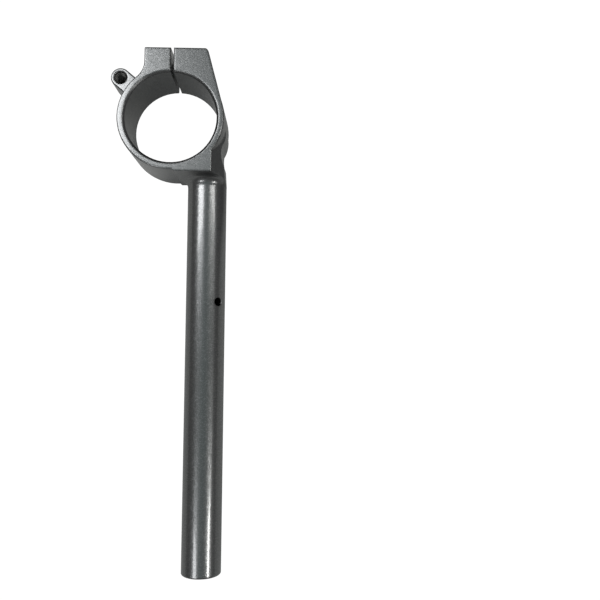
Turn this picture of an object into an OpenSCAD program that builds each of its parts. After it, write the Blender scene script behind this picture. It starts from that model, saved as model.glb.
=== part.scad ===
// Clip-on handlebar for a motorbike: one aluminium casting with a split fork clamp, a grip tube,
// and a drilled lug. The origin is on the axis of the fork bore, half way up the clamp. +Z runs along the
// fork bore to the front face, and the grip tube runs along -Y.

/* [Fork clamp] */
// Diameter of the fork tube that the clamp grips
bore_d = 51; // [48:0.5:54]
// Height of the clamp along the fork tube
clamp_h = 33; // [31:0.5:40]
// Wall of the clamp ring
ring_wall = 4.2; // [3.6:0.1:6]
// Chamfer at both mouths of the fork bore
bore_chamfer = 1.2; // [0.4:0.1:1.6]
// Rounding of the outer edges of the clamp
edge_r = 0.8; // [0.4:0.1:1.2]

/* [Clamp ears] */
// Width of the clamping slot
slot_w = 1.6; // [1.2:0.1:3]
// Middle of the slot, measured sideways from the bore axis
slot_x = 0.4; // [-1:0.1:2]
// Edge break along the slot on both faces
slot_chamfer = 0.5; // [0.2:0.1:0.8]
// Height of the ears above the fork bore
ear_h = 14; // [13:0.5:18]
// Thickness of the narrow ear, from the slot to its outer flank
narrow_ear_w = 14.7; // [13:0.1:18]
// Lean of the wide ear's outer flank from upright
flank_lean = 15; // [12:1:20]
// Corner radius on top of the narrow ear
narrow_corner_r = 1.2; // [0.9:0.1:2]
// Corner radius on top of the wide ear
wide_corner_r = 3.2; // [1.6:0.1:4]
// Radius of the hollow between the narrow ear and the ring
ear_fillet_r = 12; // [8:0.5:14]

/* [Pinch bolt] */
// Thread of the pinch bolt
pinch_thread_d = 8; // [6:1:8]
// Clearance of the bolt's shank in the wide ear
pinch_clearance = 0.5; // [0.2:0.1:0.8]
// Thread minus tap drill
tap_allowance = 1.2; // [0.8:0.1:1.4]
// Diameter of the seat that is cut for the bolt's head
seat_d = 14; // [13:0.5:16]
// Depth of that seat at its shallow side, under the flank of the wide ear
seat_depth = 0.4; // [0.2:0.1:1]

/* [Grip tube] */
// Outer diameter of the grip tube
tube_d = 22.2; // [20:0.1:24]
// Length of the grip tube, from the root wall to its end
tube_l = 222; // [150:1:260]
// Middle of the tube, measured sideways from the bore axis
tube_x = 18.7; // [17:0.1:20]
// Rounding of the tube's end
tube_end_r = 1; // [0.4:0.1:1.5]
// Diameter of the hole in the tube's end
tube_bore_d = 14; // [12:0.5:16]
// Depth of that hole
tube_bore_l = 190; // [60:1:200]
// Chamfer at the mouth of that hole
tube_bore_chamfer = 0.5; // [0.2:0.1:1]
// Concave fillet between the tube and the root wall
root_fillet_r = 5; // [3:0.5:6]

/* [Switch pin hole] */
// Diameter of the hole that a switch housing's pin enters
pin_hole_d = 5; // [3:0.5:6]
// Distance of the hole from the root wall
pin_hole_y = 71; // [30:1:120]
// Turn of the hole from the front, towards the outer side
pin_hole_turn = 46; // [20:1:70]

/* [Root block] */
// Height of the root wall below the ring
root_drop = 0.9; // [0.4:0.1:2]
// Start of the root wall, measured sideways from the bore axis
root_start_x = 2.4; // [1:0.1:4]
// Length of the ramp from the ring down to the root wall
ramp_w = 1.8; // [1:0.1:3]
// Outer corner of the root block's front face, measured sideways from the bore axis
front_corner_x = 22.9; // [21:0.1:24]
// Lean of the sloped outer face, from the bore axis
slope_lean = 25; // [20:1:35]
// Rounding of the root wall's edges
root_edge_r = 0.5; // [0.3:0.1:0.8]
// Radius of the shoulder that swells the ring's outer side towards the root block
shoulder_r = 18; // [16:0.5:20]
// Drop of the shoulder's middle below the bore axis
shoulder_drop = 5; // [4:0.5:5.5]
// Radius of the hollow waist between the shoulder and the neck
waist_r = 18; // [15:0.5:22]
// Outer side of the neck at the end of the waist, measured sideways from the bore axis
neck_x = 28.9; // [28.6:0.1:29.4]
// Distance of the end of the waist below the bore axis
neck_drop = 24.5; // [23:0.5:25]
// Distance past the root wall at which the neck's side has run out into the tube
neck_run = 5.5; // [4:0.5:8]

/* [Lug] */
// Thread in the lug
lug_thread_d = 8; // [6:1:8]
// Outer radius of the lug
lug_r = 5.5; // [5.2:0.1:7]
// Distance of the lug's hole from the bore axis
lug_reach = 38.1; // [37:0.1:44]
// Angle of the lug around the bore axis
lug_angle = 140.5; // [138:0.5:150]
// Thickness of the lug along the bore axis
lug_t = 16; // [12:0.5:20]
// Step from the clamp's front face down to the lug
lug_step = 6; // [3:0.5:10]

/* [Hidden] */
$fn = 96;

// Small overlap of cutters past the faces that they cut
over = 1;
// Slope of the cone that a twist drill leaves at the bottom of a blind hole
drill_slope = 31;
// Faint crease, in degrees, where a curved wall runs into its neighbour
crease = 5;
// Width by which the root block stands proud of the tube's outer side and back
root_margin = 0.15;
paint = [0.47, 0.48, 0.48];

bore_r = bore_d / 2;
ring_r = bore_r + ring_wall;
ear_top = bore_r + ear_h;
slot_left = slot_x - slot_w / 2;
slot_right = slot_x + slot_w / 2;
flank_x = slot_left - narrow_ear_w;
tube_r = tube_d / 2;
tube_z = tube_r + root_margin;
root_right = tube_x + tube_r + root_margin;
root_y = -(ring_r + root_drop);
tube_end_y = root_y - tube_l;
bolt_y = bore_r + ear_h / 2;
bolt_z = clamp_h / 2;

// Unit vector at an angle in the plane of the clamp's faces
function polar(r, a) = [r * cos(a), r * sin(a)];

// The meeting point of two circles that lies on the right when looking from centre a to centre b
function meet(a, ra, b, rb) =
    let (ab = b - a, d = norm(ab), along = (d * d + ra * ra - rb * rb) / (2 * d))
    let (side = sqrt(ra * ra - along * along))
    a + ab * (along / d) + [ab[1], -ab[0]] * (side / d);

// Distance between the middles of a round wall and a hollow one that run into each other
function apart(ra, rb) = sqrt(ra * ra + rb * rb + 2 * ra * rb * cos(crease));

// Middle of the hollow beside the narrow ear: it runs into the flank and into the ring
hollow_x = flank_x - ear_fillet_r * cos(crease);
hollow = [hollow_x, sqrt(pow(apart(ring_r, ear_fillet_r), 2) - hollow_x * hollow_x)];
hollow_foot = hollow * (ring_r / norm(hollow));

// The wide ear's flank runs into the ring, and its corner touches the top and the flank
flank_distance = ring_r * cos(crease);
wide_corner = [
    (flank_distance - wide_corner_r - (ear_top - wide_corner_r) * sin(flank_lean)) / cos(flank_lean),
    ear_top - wide_corner_r
];

// The shoulder runs out of the ring on its outer side, and the waist joins the shoulder to the neck
shoulder = [ring_r - shoulder_r, -shoulder_drop];
neck = [neck_x, -neck_drop];
neck_end = [tube_x + tube_r, root_y - neck_run];
waist = meet(neck, waist_r, shoulder, apart(shoulder_r, waist_r));
waist_top = shoulder + (waist - shoulder) * (shoulder_r / norm(waist - shoulder));

// Point on the straight side of the neck, between the waist and the tube, at height y
function neck_side(y) = neck + (neck_end - neck) * ((y - neck[1]) / (neck_end[1] - neck[1]));

// Outline of a disc or block seen from the side: x from 0 to w, z from 0 to h, with both outer edges rounded
module rounded_rim(w, h, r) {
    square([w - r, h]);
    translate([0, r]) square([w, h - 2 * r]);
    translate([w - r, r]) circle(r);
    translate([w - r, h - r]) circle(r);
}

// Flat disc with rounded rims
module puck(r, h, edge) {
    rotate_extrude() rounded_rim(r, h, edge);
}

// Cutter that leaves a hollow side wall with rounded edges
module cove(r, edge) {
    rotate_extrude() difference() {
        translate([0, -over]) square([r + edge, clamp_h + 2 * over]);
        translate([2 * r, 0]) mirror([1, 0]) rounded_rim(r, clamp_h, edge);
    }
}

// Block as high as the clamp that ends in a flat side with rounded edges. The side faces the given angle and
// lies at the given distance from the bore axis
module faced_block(angle, distance, depth, half_length, edge) {
    rotate([0, 0, angle])
        translate([distance - depth, half_length, 0])
            rotate([90, 0, 0])
                linear_extrude(2 * half_length) rounded_rim(depth, clamp_h, edge);
}

// Long block whose flat side makes the top of both ears
module ear_top_block() {
    faced_block(90, ear_top, ear_top, 2 * ring_r, edge_r);
}

// Ear that the bolt screws into
module narrow_ear() {
    corner = [flank_x + narrow_corner_r, ear_top - narrow_corner_r];
    intersection() {
        ear_top_block();
        faced_block(180, -flank_x, 2 * ring_r, ear_top, edge_r);
        linear_extrude(clamp_h) {
            polygon([[0, bore_r / 2], [flank_x, bore_r / 2], [flank_x, corner[1]], [corner[0], ear_top], [0, ear_top]]);
            translate(corner) circle(narrow_corner_r);
        }
    }
}

// Hollow side between the narrow ear and the ring
module ear_hollow() {
    inside = hollow_foot * (bore_r / ring_r);
    difference() {
        linear_extrude(clamp_h)
            polygon([hollow, [flank_x / 2, hollow[1]], inside, hollow_foot]);
        translate([hollow[0], hollow[1], 0]) cove(ear_fillet_r, edge_r);
    }
}

// Ear that holds the bolt's head, with a flank that runs straight into the ring
module wide_ear() {
    foot = polar(flank_distance, flank_lean);
    intersection() {
        ear_top_block();
        faced_block(flank_lean, flank_distance, ring_r, 2 * ring_r, edge_r);
        linear_extrude(clamp_h) {
            polygon([
                [0, bore_r / 2], foot * (bore_r / ring_r), foot,
                wide_corner + polar(wide_corner_r, flank_lean), [wide_corner[0], ear_top], [0, ear_top]
            ]);
            translate(wide_corner) circle(wide_corner_r);
        }
    }
}

// Section across the root, seen along the tube: x sideways, y up the bore axis
module root_section() {
    drop = (root_right - front_corner_x) / tan(slope_lean);
    polygon([
        [0, 0], [root_right, 0], [root_right, clamp_h - drop], [front_corner_x, clamp_h], [0, clamp_h]
    ]);
}

// The same section where the tube's round back runs on into the block
module neck_section() {
    difference() {
        root_section();
        difference() {
            translate([tube_x, -over]) square([tube_r + over, tube_z + over]);
            translate([tube_x, tube_z]) circle(tube_r + 2 * root_margin);
        }
    }
}

// Block between the ring and the tube, with its sloped outer face and its waist
module root_block() {
    intersection() {
        translate([0, ring_r, 0]) rotate([90, 0, 0]) linear_extrude(2 * ring_r + root_drop) neck_section();
        faced_block(-90, -root_y, -root_y, 2 * ring_r, root_edge_r);
        difference() {
            linear_extrude(clamp_h) polygon([
                [0, -bore_r], [root_start_x - 2 * ramp_w, 3 * root_drop - ring_r], [root_start_x, root_y],
                neck_side(root_y), neck, waist, waist_top, [bore_r, 0]
            ]);
            translate([waist[0], waist[1], 0]) cove(waist_r, edge_r);
        }
    }
}

// Swelling of the ring's outer wall above the waist
module ring_shoulder() {
    intersection() {
        translate([0, ring_r, 0]) rotate([90, 0, 0]) linear_extrude(2 * ring_r) root_section();
        translate([shoulder[0], shoulder[1], 0]) puck(shoulder_r, clamp_h, edge_r);
    }
}

// Grip tube with its rounded end, and the flare that carries it into the root wall. The flare is cut off where
// the root block's own sides end
module tube() {
    flare_r = tube_r + root_fillet_r;
    side_end = root_y - 2 * neck_run;
    intersection() {
        linear_extrude(clamp_h) polygon([
            [0, root_y + over], neck_side(root_y + over), neck_side(side_end),
            [root_right + over, side_end], [root_right + over, tube_end_y - over], [0, tube_end_y - over]
        ]);
        translate([0, root_y + over, 0]) rotate([90, 0, 0]) linear_extrude(tube_l + 2 * over) neck_section();
        translate([tube_x, tube_end_y, tube_z]) rotate([-90, 0, 0]) rotate_extrude() {
            square([tube_r - tube_end_r, tube_l + over]);
            translate([0, tube_end_r]) square([tube_r, tube_l + over - tube_end_r]);
            translate([tube_r - tube_end_r, tube_end_r]) circle(tube_end_r);
            difference() {
                translate([0, tube_l - root_fillet_r]) square([flare_r, root_fillet_r + over]);
                translate([flare_r, tube_l - root_fillet_r]) circle(root_fillet_r);
            }
        }
    }
}

// Drilled lug on its arm beside the ring
module lug() {
    translate([0, 0, clamp_h - lug_step - lug_t]) rotate([0, 0, lug_angle]) {
        translate([lug_reach, 0, 0]) puck(lug_r, lug_t, edge_r);
        translate([bore_r + ring_wall / 2, 0, 0]) rotate([90, 0, 90])
            linear_extrude(lug_reach - bore_r - ring_wall / 2) {
                rounded_rim(lug_r * cos(crease), lug_t, edge_r);
                mirror([1, 0]) rounded_rim(lug_r * cos(crease), lug_t, edge_r);
            }
    }
}

// Fork bore with a chamfer at each mouth
module fork_bore() {
    translate([0, 0, -over]) cylinder(r = bore_r, h = clamp_h + 2 * over);
    translate([0, 0, -over]) cylinder(r1 = bore_r + bore_chamfer + over, r2 = bore_r, h = bore_chamfer + over);
    translate([0, 0, clamp_h - bore_chamfer])
        cylinder(r1 = bore_r, r2 = bore_r + bore_chamfer + over, h = bore_chamfer + over);
}

// Slot between the ears, with its edges broken on both faces
module slot() {
    translate([slot_left, 0, -over]) cube([slot_w, ear_top + over, clamp_h + 2 * over]);
    for (z = [0, clamp_h])
        translate([slot_x, ear_top + over, z]) rotate([90, 0, 0]) linear_extrude(ear_top + over)
            polygon([
                [-slot_w / 2 - slot_chamfer, 0], [0, -slot_w / 2 - slot_chamfer],
                [slot_w / 2 + slot_chamfer, 0], [0, slot_w / 2 + slot_chamfer]
            ]);
}

// Holes and seat for the pinch bolt, across both ears. The lug stands in the bolt's way on the narrow ear's
// side, so the bolt enters the wide ear
module pinch_bolt_holes() {
    seat_top = bolt_y + seat_d / 2;
    seat_x = (flank_distance - seat_top * sin(flank_lean)) / cos(flank_lean) - seat_depth;
    translate([slot_x, bolt_y, bolt_z]) rotate([0, -90, 0])
        cylinder(d = pinch_thread_d - tap_allowance, h = narrow_ear_w + slot_w + over);
    translate([slot_x, bolt_y, bolt_z]) rotate([0, 90, 0])
        cylinder(d = pinch_thread_d + pinch_clearance, h = ring_r);
    translate([seat_x, bolt_y, bolt_z]) rotate([0, 90, 0]) cylinder(d = seat_d, h = ring_r);
}

// Tapped hole through the lug, with its mouths chamfered
module lug_hole() {
    hole_r = (lug_thread_d - tap_allowance) / 2;
    mouth = lug_thread_d / 2 - hole_r;
    translate([0, 0, clamp_h - lug_step - lug_t]) rotate([0, 0, lug_angle]) translate([lug_reach, 0, 0]) {
        translate([0, 0, -over]) cylinder(r = hole_r, h = lug_t + 2 * over);
        translate([0, 0, -over]) cylinder(r1 = hole_r + mouth + over, r2 = hole_r, h = mouth + over);
        translate([0, 0, lug_t - mouth]) cylinder(r1 = hole_r, r2 = hole_r + mouth + over, h = mouth + over);
    }
}

// Hole in the tube's end, which stops in a drill point
module tube_bore() {
    translate([tube_x, tube_end_y, tube_z]) rotate([-90, 0, 0]) {
        translate([0, 0, -over]) cylinder(d = tube_bore_d, h = tube_bore_l + over);
        translate([0, 0, tube_bore_l]) cylinder(d1 = tube_bore_d, d2 = 0, h = tube_bore_d / 2 * tan(drill_slope));
        translate([0, 0, -over])
            cylinder(d1 = tube_bore_d + 2 * (tube_bore_chamfer + over), d2 = tube_bore_d, h = tube_bore_chamfer + over);
    }
}

// Hole in one wall of the tube
module pin_hole() {
    translate([tube_x, root_y - pin_hole_y, tube_z]) rotate([0, pin_hole_turn, 0]) cylinder(d = pin_hole_d, h = tube_r + over);
}

// The whole casting. Every module above works up from the back face, at z = 0
module handlebar() {
    color(paint) translate([0, 0, -clamp_h / 2]) difference() {
        union() {
            puck(ring_r, clamp_h, edge_r);
            narrow_ear();
            ear_hollow();
            wide_ear();
            root_block();
            ring_shoulder();
            tube();
            lug();
        }
        fork_bore();
        slot();
        pinch_bolt_holes();
        lug_hole();
        tube_bore();
        pin_hole();
    }
}

handlebar();
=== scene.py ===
import math

import bmesh
import bpy
from mathutils import Matrix, Vector


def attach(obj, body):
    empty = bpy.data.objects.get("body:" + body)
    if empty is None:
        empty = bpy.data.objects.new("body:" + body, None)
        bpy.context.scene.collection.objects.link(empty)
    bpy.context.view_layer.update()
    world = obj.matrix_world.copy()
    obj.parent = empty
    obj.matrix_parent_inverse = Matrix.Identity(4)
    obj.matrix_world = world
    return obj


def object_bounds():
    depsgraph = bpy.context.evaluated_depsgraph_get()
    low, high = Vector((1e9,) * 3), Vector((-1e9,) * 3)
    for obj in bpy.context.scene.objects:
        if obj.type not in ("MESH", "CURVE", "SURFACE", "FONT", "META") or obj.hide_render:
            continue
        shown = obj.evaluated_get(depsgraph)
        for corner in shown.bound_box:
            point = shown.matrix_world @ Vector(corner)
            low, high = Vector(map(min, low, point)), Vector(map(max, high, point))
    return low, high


# %% [markdown]
# # A clip-on handlebar, cast in one piece and painted
#
# The real thing is half of a motorbike's handlebar. A split ring clips round one fork leg, a bolt
# through two ears pinches it, and the grip goes on the long tube that grows out of the ring.
# Its whole body is one aluminium casting, so the CAD model has one node, and this script gives that
# node its paint, cuts the threads that the two plain holes leave open, and lights a small studio.
#
# The ring's bore stands along Z, the ears point to +Y and the tube runs along -Y.

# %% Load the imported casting
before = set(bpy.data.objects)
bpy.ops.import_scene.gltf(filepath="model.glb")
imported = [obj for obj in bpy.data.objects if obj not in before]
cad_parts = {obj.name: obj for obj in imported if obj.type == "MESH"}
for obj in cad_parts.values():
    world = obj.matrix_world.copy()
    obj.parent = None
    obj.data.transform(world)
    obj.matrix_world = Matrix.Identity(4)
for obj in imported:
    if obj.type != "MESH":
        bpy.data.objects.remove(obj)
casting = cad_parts["handlebar"]
load_low, load_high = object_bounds()
MM = 0.001


def in_mm(values):
    """Metres as rounded millimetres, for printing."""
    return [round(value / MM, 1) for value in values]


print("casting:", len(casting.data.polygons), "faces,", len(casting.data.vertices), "points")
print("from", in_mm(load_low), "to", in_mm(load_high), "mm")


# %% [markdown]
# ## A short way to write shader maths
#
# The paint is built from noise, powers and mixes. Written node by node this is long to read, so a
# value in the shader is wrapped once: `Wire` holds an output socket, and plus, minus, times, divide
# and power make the Math node behind the scene. Any other node is made by `Shader.node`, which sets
# the node's own options first, and then plugs in numbers, colours and wires alike.

# %% Wires that add and multiply
class Wire:
    """An output socket of a shader, with ordinary arithmetic."""

    def __init__(self, tree, socket):
        self.tree = tree
        self.socket = socket

    def _maths(self, operation, first, second):
        node = self.tree.nodes.new("ShaderNodeMath")
        node.operation = operation
        for place, value in zip(node.inputs, (first, second)):
            plug(self.tree, place, value)
        return Wire(self.tree, node.outputs[0])

    def __add__(self, other):
        return self._maths("ADD", self, other)

    def __radd__(self, other):
        return self._maths("ADD", other, self)

    def __sub__(self, other):
        return self._maths("SUBTRACT", self, other)

    def __rsub__(self, other):
        return self._maths("SUBTRACT", other, self)

    def __mul__(self, other):
        return self._maths("MULTIPLY", self, other)

    def __rmul__(self, other):
        return self._maths("MULTIPLY", other, self)

    def __truediv__(self, other):
        return self._maths("DIVIDE", self, other)

    def __rtruediv__(self, other):
        return self._maths("DIVIDE", other, self)

    def __pow__(self, other):
        return self._maths("POWER", self, other)

    def __rpow__(self, other):
        return self._maths("POWER", other, self)

    def clamp(self):
        """The value held between 0 and 1."""
        return self._maths("MAXIMUM", 0.0, self._maths("MINIMUM", self, 1.0))


def plug(tree, place, value):
    """Puts a wire, a number or a colour into an input socket."""
    if isinstance(value, Wire):
        tree.links.new(value.socket, place)
    else:
        place.default_value = value


print("wires ready")


# %% A shader and its nodes
class Shader:
    """The nodes of one material, or of the world."""

    def __init__(self, owner):
        self.owner = owner
        owner.use_nodes = True
        self.tree = owner.node_tree
        self.tree.nodes.clear()

    def node(self, kind, *in_order, output=0, options=None, **by_name):
        """Any node. Its inputs are given in order, or by name with underscores for spaces."""
        made = self.tree.nodes.new(kind)
        for key, value in (options or {}).items():
            setattr(made, key, value)
        for place, value in zip(made.inputs, in_order):
            plug(self.tree, place, value)
        for key, value in by_name.items():
            plug(self.tree, made.inputs[key.replace("_", " ")], value)
        return Wire(self.tree, made.outputs[output])

    def vector(self, operation, *vectors):
        """Vector maths on wires or triples."""
        return self.node("ShaderNodeVectorMath", *vectors, options={"operation": operation})

    def blend(self, share, low, high):
        """A colour between two colours."""
        made = self.tree.nodes.new("ShaderNodeMix")
        made.data_type = "RGBA"
        ends = [place for place in made.inputs if place.type == "RGBA"]
        for place, value in zip([made.inputs["Factor"]] + ends, (share, low, high)):
            plug(self.tree, place, value)
        mixed = [place for place in made.outputs if place.type == "RGBA"]
        return Wire(self.tree, mixed[0])

    def either(self, share, first, second):
        """One shader where share is 0, and the other where it is 1."""
        return self.node("ShaderNodeMixShader", share, first, second)

    def finish(self, shader):
        """Ends the nodes with this shader, and returns the material or world they belong to."""
        is_world = isinstance(self.owner, bpy.types.World)
        end = self.tree.nodes.new("ShaderNodeOutput" + ("World" if is_world else "Material"))
        plug(self.tree, end.inputs["Surface"], shader)
        return self.owner


def new_finish(name):
    """A fresh, empty material."""
    return Shader(bpy.data.materials.new(name))


print("shaders ready")

# %% [markdown]
# ## Gunmetal paint
#
# The casting is sprayed with a grey paint full of fine aluminium flake, under a clear coat. Two
# things show it on the real part: faces turned to a lamp go from nearly black to white within a few
# degrees, which only a mirror-like layer does, and tiny grains sparkle in every soft highlight.
#
# So the base is metallic with a mid-grey colour and a middling roughness. Flakes are small Voronoi
# cells: each has a random colour, which makes some cells paler and tilts each cell's normal a
# little its own way. The spray also leaves a slow waviness, known as orange peel, which is a low,
# wide noise in the bump.

# %% Flakes and colour
FLAKES_PER_METRE = 2200.0
GREY = (0.195, 0.198, 0.198, 1.0)
GREY_FLAKE = (0.51, 0.52, 0.52, 1.0)
SPARKLE_POWER = 3.0
SPARKLE_SHARE = 0.3

paint = new_finish("gunmetal paint")
where = paint.node("ShaderNodeTexCoord", output="Object")
flakes = paint.node("ShaderNodeTexVoronoi", output="Color", options={"feature": "F1"},
                    Vector=where, Scale=FLAKES_PER_METRE)
sparkle = paint.node("ShaderNodeSeparateColor", Color=flakes)
colour = paint.blend((sparkle ** SPARKLE_POWER) * SPARKLE_SHARE, GREY, GREY_FLAKE)
print("flakes about", round(1000.0 / FLAKES_PER_METRE, 2), "mm wide")

# %% Roughness
CLOUDS_PER_METRE = 60.0
ROUGH_BASE = 0.255
ROUGH_CLOUD = 0.05
ROUGH_FLAKE = 0.04

cloud = paint.node("ShaderNodeTexNoise", Vector=where, Scale=CLOUDS_PER_METRE, Detail=3.0, Roughness=0.6)
roughness = ROUGH_BASE + ROUGH_CLOUD * cloud + ROUGH_FLAKE * sparkle
print("roughness from", ROUGH_BASE, "to", round(ROUGH_BASE + ROUGH_CLOUD + ROUGH_FLAKE, 3))

# %% [markdown]
# ## Soft edges and tilted flakes
#
# The casting's edges are already round in the CAD model. Paint lies thicker along an edge and
# softens it a little more, so a Bevel node turns the normal over a width slightly greater than the
# edge's own. In the photo this is the dark line round each face and the pale one along the bore's
# mouth. A modifier would change the CAD mesh, which stays as it is, and a shader node doesn't.
#
# The orange peel is a bump on top of that, and the flakes tilt the result.

# %% Normal
SOFT_EDGE = 1.3 * MM
PEEL_PER_METRE = 900.0
PEEL_DEPTH = 0.006 * MM
FLAKE_TILT = 0.065

soft_edge = paint.node("ShaderNodeBevel", options={"samples": 8}, Radius=SOFT_EDGE)
peel = paint.node("ShaderNodeTexNoise", Vector=where, Scale=PEEL_PER_METRE, Detail=2.0, Roughness=0.5)
peel_normal = paint.node("ShaderNodeBump", Height=peel, Distance=PEEL_DEPTH, Strength=1.0, Normal=soft_edge)
scatter = paint.vector("SUBTRACT", flakes, (0.5, 0.5, 0.5))
scatter = paint.vector("MULTIPLY", scatter, (FLAKE_TILT, FLAKE_TILT, FLAKE_TILT))
tilted = paint.vector("NORMALIZE", paint.vector("ADD", peel_normal, scatter))
print("edges softened over", round(SOFT_EDGE / MM, 2), "mm")

# %% Put the paint on the casting
COAT_ROUGHNESS = 0.07

body = paint.node("ShaderNodeBsdfPrincipled", Base_Color=colour, Metallic=1.0, Roughness=roughness,
                  Normal=tilted, Coat_Weight=1.0, Coat_Roughness=COAT_ROUGHNESS)
gunmetal = paint.finish(body)
casting.data.materials.clear()
casting.data.materials.append(gunmetal)
print("painted:", casting.name)

# %% [markdown]
# ## The two threads
#
# The lug's hole and the narrow ear's hole are tapped M8 x 1.25. The CAD model has them as plain
# holes of the tapping size, because a helix isn't a form for a CAD source that others resize. Here
# the crests are added inside each hole: a profile of one thread pitch is swept along a helix and
# closed at both ends. A screw modifier could make them too, but it can't taper the ends, and a real
# thread runs out to nothing. Each hangs on the same body as the casting, with its foot a hair
# inside the wall so that no gap shows.

# %% Sizes of the thread
PITCH = 1.25 * MM
TAPPED_WALL_R = 3.4 * MM
CREST_R = 2.95 * MM
FOOT_R = TAPPED_WALL_R + 0.12 * MM
FOOT_HALF = 0.36 * PITCH
CREST_HALF = 0.07 * PITCH
BARE_TURNS = 0.8
RUN_OUT_TURNS = 0.6
STEPS = 48
print("thread stands", round((TAPPED_WALL_R - CREST_R) / MM, 2), "mm out of the wall")


# %% Points along the helix
def ridge_points(centre, axis, low, high):
    """Four points at each step: a foot, the two sides of the crest, and the other foot."""
    turned = Vector((0.0, 0.0, 1.0)).rotation_difference(axis).to_matrix()
    count = int(((high - low) / PITCH - 2 * BARE_TURNS) * STEPS)
    points = []
    for i in range(count + 1):
        angle = 2 * math.pi * i / STEPS
        z = low + BARE_TURNS * PITCH + i / STEPS * PITCH
        grown = min(1.0, i / (STEPS * RUN_OUT_TURNS), (count - i) / (STEPS * RUN_OUT_TURNS))
        inner = TAPPED_WALL_R - (TAPPED_WALL_R - CREST_R) * grown
        section = ((FOOT_R, -FOOT_HALF), (inner, -CREST_HALF), (inner, CREST_HALF), (FOOT_R, FOOT_HALF))
        for r, dz in section:
            points.append(centre + turned @ Vector((r * math.cos(angle), r * math.sin(angle), z + dz)))
    return points


def ridge_faces(steps):
    """A strip of four faces for each step, and a cap at either end."""
    faces = []
    for i in range(steps):
        here = 4 * i
        after = here + 4
        for k in range(4):
            n = (k + 1) % 4
            faces.append((here + k, here + n, after + n, after + k))
    last = 4 * steps
    faces.append((3, 2, 1, 0))
    faces.append((last, last + 1, last + 2, last + 3))
    return faces


print("the ridge has", STEPS, "steps a turn")


# %% Sweep the ridge
def thread_ridge(name, centre, axis, low, high):
    """The ridge of a tapped hole, from low to high along its axis, as a new piece."""
    mesh = bpy.data.meshes.new(name)
    points = ridge_points(centre, axis, low, high)
    mesh.from_pydata(points, [], ridge_faces(len(points) // 4 - 1))
    work = bmesh.new()
    work.from_mesh(mesh)
    bmesh.ops.recalc_face_normals(work, faces=work.faces)
    work.to_mesh(mesh)
    work.free()
    made = bpy.data.objects.new(name, mesh)
    bpy.context.scene.collection.objects.link(made)
    return made


LUG_HOLE = Vector((-29.399, 24.235, 0.0)) * MM
EAR_HOLE = Vector((0.0, 32.5, 0.0)) * MM
ALONG_X = Vector((1.0, 0.0, 0.0))
ALONG_Z = Vector((0.0, 0.0, 1.0))
lug_thread = thread_ridge("lug_thread", LUG_HOLE, ALONG_Z, -5.5 * MM, 10.5 * MM)
ear_thread = thread_ridge("ear_thread", EAR_HOLE, ALONG_X, -15.1 * MM, -0.4 * MM)
for thread in (lug_thread, ear_thread):
    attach(thread, "root")
    print(thread.name, len(thread.data.polygons), "faces")

# %% [markdown]
# ## Painted shade in the threads
#
# Hardly any light gets down a tapped hole, so it looks almost black with one soft glint. The
# threads get that shade painted into a finish of their own: the same metal with a much darker colour,
# rougher in patches that a noise lays out, and a little paler in some of them.

# %% Thread with painted shade
THREAD_PATCHES_PER_METRE = 700.0
THREAD_SHADED_DARK = (0.05, 0.05, 0.048, 1.0)
THREAD_SHADED_PALE = (0.15, 0.15, 0.145, 1.0)
THREAD_ROUGH = 0.34
THREAD_PATCH_ROUGH = 0.14

shaded_thread_finish = new_finish("painted shade thread")
spot = shaded_thread_finish.node("ShaderNodeTexCoord", output="Object")
thread_patches = shaded_thread_finish.node("ShaderNodeTexNoise", Vector=spot, Scale=THREAD_PATCHES_PER_METRE, Detail=3.0, Roughness=0.6)
# Both greys are painted shade for the depth of the hole, and the noise moves the colour between them.
flanks = shaded_thread_finish.node("ShaderNodeBsdfPrincipled", Base_Color=shaded_thread_finish.blend(thread_patches, THREAD_SHADED_DARK, THREAD_SHADED_PALE),
                   Metallic=1.0, Roughness=THREAD_ROUGH + THREAD_PATCH_ROUGH * thread_patches)
thread_painted_shade_metal = shaded_thread_finish.finish(flanks)
for thread in (lug_thread, ear_thread):
    thread.data.materials.append(thread_painted_shade_metal)
print("threads finished in", thread_painted_shade_metal.name)

# %% [markdown]
# ## Table
#
# In the photo the ground is pure white and has no shadow, yet the metal mirrors a dim room: the
# ground was made white afterwards. A white table would light the underside of every edge and wash
# the shape out, and a grey one would show as grey.
#
# So the table is two things at once. A Light Path node tells the rays that come straight from the
# camera apart: they see an even white, and every other ray meets a grey card with a faint painted
# glow. The card is darker beside the clamp, on the side where the sloping facet looks at it: this is
# painted shade, which the facet mirrors.

# %% The two faces of the table
WHITE = (1.0, 1.0, 1.0, 1.0)
WHITE_GLOW = 1.05
TABLE_GREY = (0.36, 0.36, 0.352, 1.0)
TABLE_GLOW = 0.06
SHADE_GREY = (0.14, 0.14, 0.14, 1.0)
SHADE_DIMS = 0.6
SHADE_LEFT, SHADE_RIGHT = 34 * MM, 60 * MM
SHADE_NEAR, SHADE_FAR = -70 * MM, -40 * MM

card = new_finish("table card")
spot = card.node("ShaderNodeTexCoord", output="Object")
across = card.node("ShaderNodeSeparateXYZ", output="X", Vector=spot)
along = card.node("ShaderNodeSeparateXYZ", output="Y", Vector=spot)
# Painted shade: a darker patch of the card beside the clamp.
shade = ((across - SHADE_LEFT) / (SHADE_RIGHT - SHADE_LEFT)).clamp()
shade = shade * ((along - SHADE_NEAR) / (SHADE_FAR - SHADE_NEAR)).clamp()
grey = card.node("ShaderNodeBsdfDiffuse", Color=card.blend(shade, TABLE_GREY, SHADE_GREY))
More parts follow.
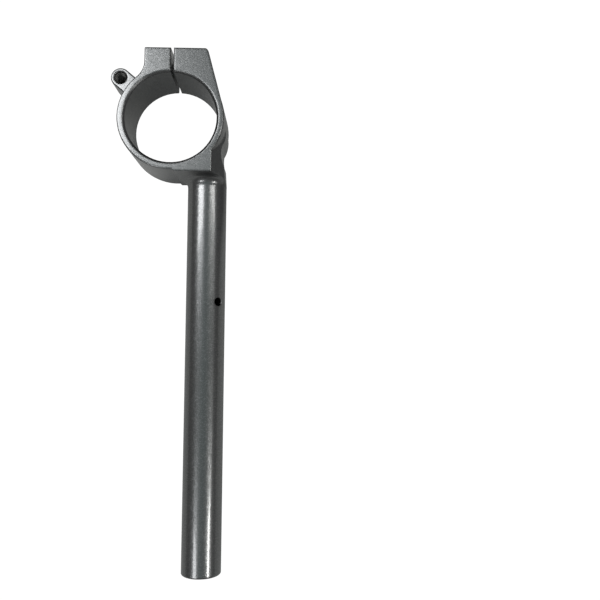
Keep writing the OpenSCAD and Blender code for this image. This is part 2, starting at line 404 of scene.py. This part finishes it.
# Painted glow: the card gives off a faint light of its own, less in the shaded patch.
glow = card.node("ShaderNodeEmission", Color=WHITE, Strength=TABLE_GLOW * (1.0 - SHADE_DIMS * shade))
dim_card = card.node("ShaderNodeAddShader", grey, glow)
white = card.node("ShaderNodeEmission", Color=WHITE, Strength=WHITE_GLOW)
seen = card.node("ShaderNodeLightPath", output="Is Camera Ray")
table_card = card.finish(card.either(seen, dim_card, white))
print("table card made:", table_card.name)

# %% Lay the table
TABLE_HALF = 1.6
AIR_GAP = 0.2 * MM

signs = ((-1, -1), (1, -1), (1, 1), (-1, 1))
floor_mesh = bpy.data.meshes.new("table")
floor_mesh.from_pydata([(x * TABLE_HALF, y * TABLE_HALF, 0.0) for x, y in signs], [], [(0, 1, 2, 3)])
floor_mesh.materials.append(table_card)
floor = bpy.data.objects.new("table", floor_mesh)
floor.location = (0.0, 0.0, load_low.z - AIR_GAP)
bpy.context.scene.collection.objects.link(floor)
print("table at z", round(floor.location.z / MM, 2), "mm")

# %% [markdown]
# ## Softboxes
#
# The photo is a product shot from straight above, and its highlights give the lamps away. The round
# tube shows two bright lines with a dark one between them, so one lamp hangs on the left and one on
# the right. The same lines break off halfway along, so each side has a lamp nearer the ring and one
# nearer the grip end. Between the four is a dim cross, where the camera looks through.
#
# Metal shows what it mirrors, so these lamps make the picture: the flat front faces mirror the edge
# of one lamp, and a degree of tilt decides between grey and white. Four level rectangles are enough,
# and their corners can be read off the places where the highlights begin and end.

# %% Four softboxes
LAMP_HEIGHT = 0.9
COOL = (0.98, 0.985, 1.0)
WARM = (1.0, 0.995, 0.97)


def softbox(name, left, right, near, far, brightness, tint):
    """A softbox that hangs level over the table, as bright as a mirror under it would show."""
    lamp = bpy.data.lights.new(name, "AREA")
    lamp.shape = "RECTANGLE"
    lamp.size = right - left
    lamp.size_y = far - near
    lamp.energy = brightness * math.pi * lamp.size * lamp.size_y
    lamp.color = tint
    made = bpy.data.objects.new(name, lamp)
    made.location = ((left + right) / 2, (near + far) / 2, LAMP_HEIGHT)
    bpy.context.scene.collection.objects.link(made)
    print(name, round(lamp.energy, 2), "W")


softbox("left far softbox", -0.916, -0.23, 0.116, 0.58, 5.4, COOL)
softbox("left near softbox", -0.736, -0.345, -0.913, -0.508, 4.6, COOL)
softbox("right far softbox", 0.393, 1.125, 0.199, 0.403, 4.8, WARM)
softbox("right near softbox", 0.812, 1.154, -0.792, -0.501, 12.4, WARM)

# %% [markdown]
# ## Room
#
# Behind the lamps the metal mirrors walls and a ceiling. They are dim, which gives the tube its two
# dark edges, and a little brighter and greener overhead, which tints the middle of the tube. The
# world does this with a colour that depends on how far up a ray goes. To the camera it is white, as
# the table is.

# %% Dim room
WALL_GLOW = 0.14
CEILING_GLOW = 0.16
CEILING_TINT = (0.86, 1.0, 1.0, 1.0)
CEILING_POWER = 3.0

room = Shader(bpy.data.worlds.new("dim studio"))
direction = room.node("ShaderNodeTexCoord", output="Generated")
overhead = room.node("ShaderNodeSeparateXYZ", output="Z", Vector=direction).clamp() ** CEILING_POWER
dim = room.node("ShaderNodeBackground", Color=room.blend(overhead, WHITE, CEILING_TINT),
                Strength=WALL_GLOW + CEILING_GLOW * overhead)
bright = room.node("ShaderNodeBackground", Color=WHITE, Strength=WHITE_GLOW)
seen = room.node("ShaderNodeLightPath", output="Is Camera Ray")
bpy.context.scene.world = room.finish(room.either(seen, dim, bright))
print("walls", WALL_GLOW, "ceiling", WALL_GLOW + CEILING_GLOW)

# %% [markdown]
# ## Camera
#
# The photo's camera hangs about 40 cm over the table, a little toward the grip end and to the right
# of the ring. Its place and lens come from laying the model's outline over the photo's. Two of its
# axes are written down, the one to the right of the picture and the one to its top, and the third
# follows from them.

# %% Camera
LENS_LENGTH = 40.27
SENSOR_WIDTH = 36.0
CAMERA_PLACE = Vector((63.605, -129.869, 379.933)) * MM
TO_RIGHT = Vector((0.99967944, 0.00599815, 0.02459752))
TO_TOP = Vector((-0.00790316, 0.99691446, 0.07809669))

lens = bpy.data.cameras.new("camera")
lens.sensor_width = SENSOR_WIDTH
lens.lens = LENS_LENGTH
camera = bpy.data.objects.new("camera", lens)
turn = Matrix((TO_RIGHT, TO_TOP, TO_RIGHT.cross(TO_TOP).normalized())).transposed().to_4x4()
camera.matrix_world = Matrix.Translation(CAMERA_PLACE) @ turn
bpy.context.scene.collection.objects.link(camera)
bpy.context.scene.camera = camera
bpy.context.scene.view_settings.view_transform = "Standard"
print("camera at", in_mm(CAMERA_PLACE), "mm")
